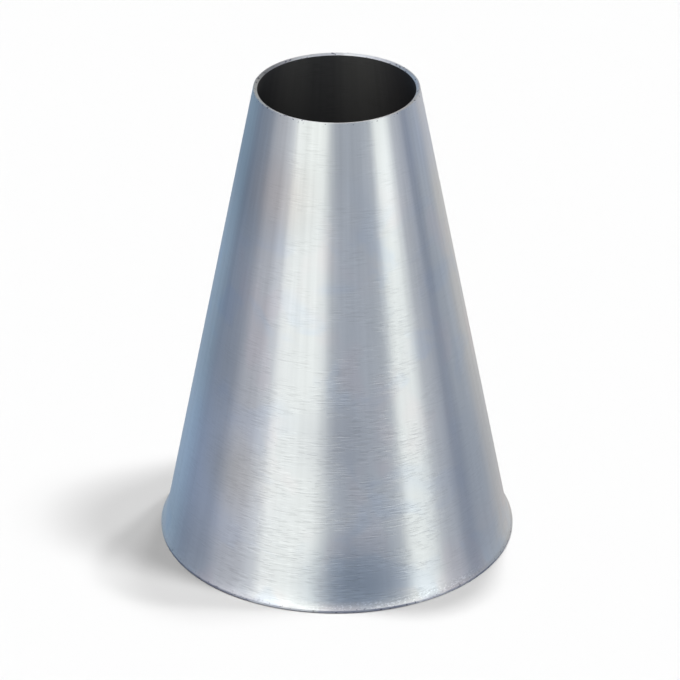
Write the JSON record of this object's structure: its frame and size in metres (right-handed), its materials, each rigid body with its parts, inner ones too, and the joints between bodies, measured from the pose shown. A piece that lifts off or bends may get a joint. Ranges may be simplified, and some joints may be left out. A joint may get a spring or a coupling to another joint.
{
  "type": "piping tip",
  "caption": "Plain round piping tip: a seamless stainless cone with a flared lip at its wide end, fitted in a piping bag to shape icing, cream or dough.",
  "frame": {"origin": "centre of the wide end, in the plane of the ground face under its lip", "axes": "+Z along the cone's axis, from the wide end to the mouth; +X and +Y are any pair square to it, since the tip is round"},
  "size_m": [0.035, 0.035, 0.0475],
  "materials": {
    "stainless_sheet": "stainless sheet with a fine satin brushing round the axis"
  },
  "bodies": {
    "root": {"piping_tip": "stainless_sheet"}
  },
  "joints": []
}
